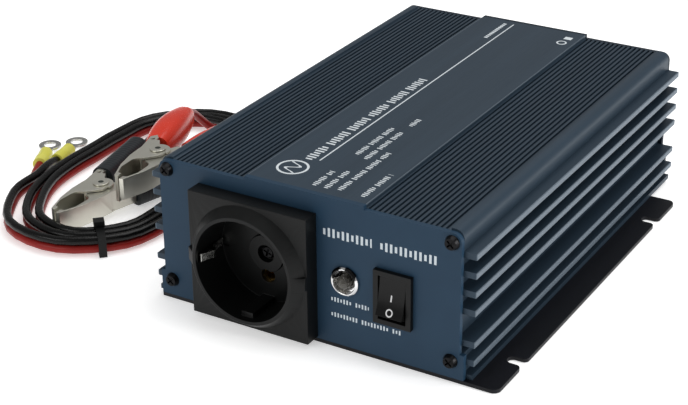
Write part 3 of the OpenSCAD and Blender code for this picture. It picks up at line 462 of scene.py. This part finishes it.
# %% Switch rocker and lamp lens
rocker = surface("switch_plastic", "080808", "0e0e0e", 0.22, cell=3, grain=0.4, depth=0.008)
x, y, z = rocker.axes()
ROCKER_X = 36.6
bar_mark = x.within(ROCKER_X, 0.28) * z.within(27.6, 1.15)
ring_mark = ring(x, z, ROCKER_X, 22.6, 1.15, 0.24)
rocker.set(Base_Color=rocker.mix(bar_mark.either(ring_mark) * (y < -95.5), rocker.colour, colour("d5d5d5")))
finishes["switch_plastic"] = rocker
lamp_chrome = surface("chrome", "c9c9c9", "ececec", 0.1, vary=0.02, cell=1, grain=0.6, depth=0.002, Metallic=1.0)
x, y, z = lamp_chrome.axes()
lamp_low, lamp_high = (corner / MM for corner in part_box("lamp_holder"))
lamp_x, lamp_z = (lamp_low.x + lamp_high.x) / 2, (lamp_low.z + lamp_high.z) / 2
# Painted reflection: the cone's upper part, all but a narrow middle band, is painted dark for the dark room that chrome
# would reflect.
painted_dark_reflection = (z > lamp_z + 0.4) * (abs(x - (lamp_x - 0.6)) > 1.15) * (abs(x - lamp_x) < 4.7)
lamp_chrome.set(Base_Color=lamp_chrome.mix(painted_dark_reflection, lamp_chrome.colour, colour("2a2a2a")))
finishes["chrome"] = lamp_chrome
lens = surface("clear_lens", "6f6c66", "8b8881", 0.12, vary=0.04, cell=1, grain=0.4, depth=0.003)
finishes["clear_lens"] = lens.set(Transmission_Weight=0.6, IOR=1.46)
print("lamp middle at", round(lamp_x, 1), round(lamp_z, 1), "mm")

# %% [markdown]
# ## Hollow rivets
# Each clip turns on a rivet whose middle is hollow, so it reads as a dark dot. A disc is masked about the clip's joint,
# which the frame's record gives, and inside it painted shade stands for the hole: the colour darkens and the metal is
# turned off.

# %% Rivet middles
RIVET_HOLE_R = 1.2
pivots = {joint["name"]: Vector(joint["pos_m"]) / MM for joint in frame["record"]["behaviour"]["joints"]}
clip_steel = finishes["clip_steel"]
x, y, z = clip_steel.axes()
painted_hole_shade = None
for name, point in pivots.items():
    if "clip" in name:
        spot = ring(x, y, point.x, point.y, 0, RIVET_HOLE_R)
        painted_hole_shade = painted_hole_shade.either(spot) if painted_hole_shade else spot
# Painted shade: a dark, non-metal disc in each rivet's middle.
clip_steel.set(Base_Color=clip_steel.mix(painted_hole_shade, clip_steel.colour, colour("2b302b")),
               Metallic=painted_hole_shade * -0.9 + 0.9)
print("rivet middles darkened")

# %% Give every node its finish
for name, node in nodes.items():
    made = pieces.get(name, node)
    made.data.materials.clear()
    made.data.materials.append(finishes[slot_of[name]].material)
print(len(nodes), "nodes finished")

# %% [markdown]
# ## Clip sleeves
# Each clip's handles are pushed into vinyl sleeves. The black ones are straight with fine ribs for grip, and the red
# ones are soft drops, wide at the mouth and narrow where the wire comes out. A sleeve is lofted: rings of points
# follow the handle, and each ring's width and height come from a rule along the length. The rings also sit a little
# outward of the handle, which leaves room between the two sleeves when the clip is squeezed.

# %% Sleeve loft
SPREAD, HANDLE_X = 13, 4.6
TURN = {"black": -2, "red": 3}
SLEEVE_Y0, SLEEVE_ENDS = 12.6, {"black": 48.6, "red": 52.0}
SIDES, RINGS = 32, 80


def straight_rule(f):
    """Half width, half height and outward shift of a ribbed grip, a share f of the way along it."""
    cap = min(1, math.sqrt(max(0, 1 - ((f - 0.94) / 0.06) ** 2))) if f > 0.94 else 1
    ribs = 0.05 * math.sin(f * 2 * math.pi * 19) if 0.08 < f < 0.9 else 0
    return (5.1 + ribs) * cap, (6.5 + ribs) * cap, 1.3


def drop_rule(f):
    """The same three sizes for a soft drop."""
    swell = math.sin(math.pi * (0.25 + 0.62 * f)) ** 0.9
    tip = math.sqrt(max(0.0, 1 - max(0.0, (f - 0.88) / 0.12) ** 2))
    return (0.9 + 5.8 * swell) * tip + 0.9 * (1 - tip), (1.4 + 5.6 * swell) * tip + 0.9 * (1 - tip), 1.2 * swell


def sleeve(name, clip, side, rule, finish_slot, node, body):
    pivot, turn = pivots[clip + "_clip_squeeze"], TURN[clip]
    work = bmesh.new()
    rings = []
    for i in range(RINGS + 1):
        f = i / RINGS
        half_x, half_z, outward = rule(f)
        ring_points = []
        for k in range(SIDES):
            a = 2 * math.pi * k / SIDES
            cx, cz = (math.copysign(abs(v) ** 0.75, v) for v in (math.cos(a), math.sin(a)))
            local = Vector((-HANDLE_X - outward + half_x * cx, SLEEVE_Y0 + (SLEEVE_ENDS[clip] - SLEEVE_Y0) * f, 0))
            local.rotate(Matrix.Rotation(math.radians(SPREAD), 3, "Z"))
            local.x *= side
            local.rotate(Matrix.Rotation(math.radians(turn), 3, "Z"))
            spot = pivot + local + Vector((0, 0, half_z * cz))
            ring_points.append(work.verts.new(spot * MM))
        rings.append(ring_points)
    for a, b in zip(rings, rings[1:]):
        for k in range(SIDES):
            work.faces.new((a[k], a[(k + 1) % SIDES], b[(k + 1) % SIDES], b[k]))
    work.faces.new(rings[0][::-1])
    work.faces.new(rings[-1])
    bmesh.ops.recalc_face_normals(work, faces=work.faces)
    mesh = bpy.data.meshes.new(name)
    work.to_mesh(mesh)
    work.free()
    mesh.shade_smooth()
    mesh.set_sharp_from_angle(angle=math.radians(50))
    piece = bpy.data.objects.new(name, mesh)
    bpy.context.scene.collection.objects.link(piece)
    mesh.materials.append(finishes[finish_slot].material)
    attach(piece, body)
    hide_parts(node)
    return piece

print("sleeves turned", TURN, "degrees with their clips")

# %% Thin the handles where the sleeves hide them
THIN_FROM, THIN_TO = 30, 0.3


def thin_handle(clip, half, side):
    """A handle's blade narrows towards its end, so that it stays inside a sleeve that narrows too."""
    pivot = pivots[clip + "_clip_squeeze"]
    undo = Matrix.Rotation(math.radians(-TURN[clip]), 3, "Z")
    for corner in pieces[clip + "_clip_" + half].data.vertices:
        local = undo @ (corner.co / MM - pivot)
        local.x *= side
        local.rotate(Matrix.Rotation(math.radians(-SPREAD), 3, "Z"))
        if local.y > THIN_FROM:
            corner.co.z = (pivot.z + (corner.co.z / MM - pivot.z) * THIN_TO) * MM


for clip in TURN:
    thin_handle(clip, "fixed_half", 1)
    thin_handle(clip, "moving_half", -1)
print("handles thinned on", len(TURN), "clips")

# %% Four sleeves
sleeve("black_fixed_sleeve_piece", "black", 1, straight_rule, "black_vinyl", "clip_fixed_sleeves", "case")
sleeve("red_fixed_sleeve_piece", "red", 1, drop_rule, "red_vinyl", "clip_fixed_sleeves", "case")
sleeve("black_moving_sleeve_piece", "black", -1, straight_rule, "black_vinyl", "black_moving_sleeve", "black_clip_jaw")
sleeve("red_moving_sleeve_piece", "red", -1, drop_rule, "red_vinyl", "red_moving_sleeve", "red_clip_jaw")

print("four sleeves lofted")

# %% Cord facts
tuple(red_route[0] * MM)
round(cord_length(red_route) * MM, 2)
tuple(black_route[0] * MM)
round(cord_length(black_route) * MM, 2)

# %% [markdown]
# ## Floor and light
# A pale seamless floor and large soft lights, as in a product studio: one big panel above, one low panel at the front
# left that lifts the front plate, and a bright surround that glossy parts can reflect.

# %% Studio
def area_light(name, place, aim, size, power):
    light = bpy.data.lights.new(name, "AREA")
    light.shape, light.size, light.size_y, light.energy = "RECTANGLE", size[0], size[1], power
    holder = bpy.data.objects.new(name, light)
    bpy.context.scene.collection.objects.link(holder)
    holder.location = place
    holder.rotation_euler = (Vector(aim) - Vector(place)).to_track_quat("-Z", "Y").to_euler()
    return holder


floor_mesh = bpy.data.meshes.new("floor")
floor_mesh.from_pydata([(-6, -6, 0), (6, -6, 0), (6, 6, 0), (-6, 6, 0)], [], [(0, 1, 2, 3)])
floor = bpy.data.objects.new("floor", floor_mesh)
bpy.context.scene.collection.objects.link(floor)
floor.location.z = -0.0002
floor_finish = surface("pale_floor", "f6f6f6", "fafafa", 0.8, cell=40, grain=5, depth=0.0, Emission_Strength=0.45,
                       Specular_IOR_Level=0.1, Emission_Color=(1, 1, 1, 1))
floor_mesh.materials.append(floor_finish.material)
area_light("top_panel", (0.1, 0.35, 1.3), (0, 0, 0), (1.4, 1.0), 11)
area_light("front_panel", (-0.5, -1.3, 0.75), (0, 0, 0.03), (0.9, 0.5), 5)
area_light("right_panel", (1.5, 0.1, 0.42), (0, 0, 0.03), (0.3, 1.0), 14)
world = bpy.data.worlds.new("surround")
bpy.context.scene.world = world
world.use_nodes = True
world.node_tree.nodes["Background"].inputs["Color"].default_value = (1, 1, 1, 1)
world.node_tree.nodes["Background"].inputs["Strength"].default_value = 0.32
bpy.context.scene.view_settings.view_transform = "Standard"
print("studio ready")
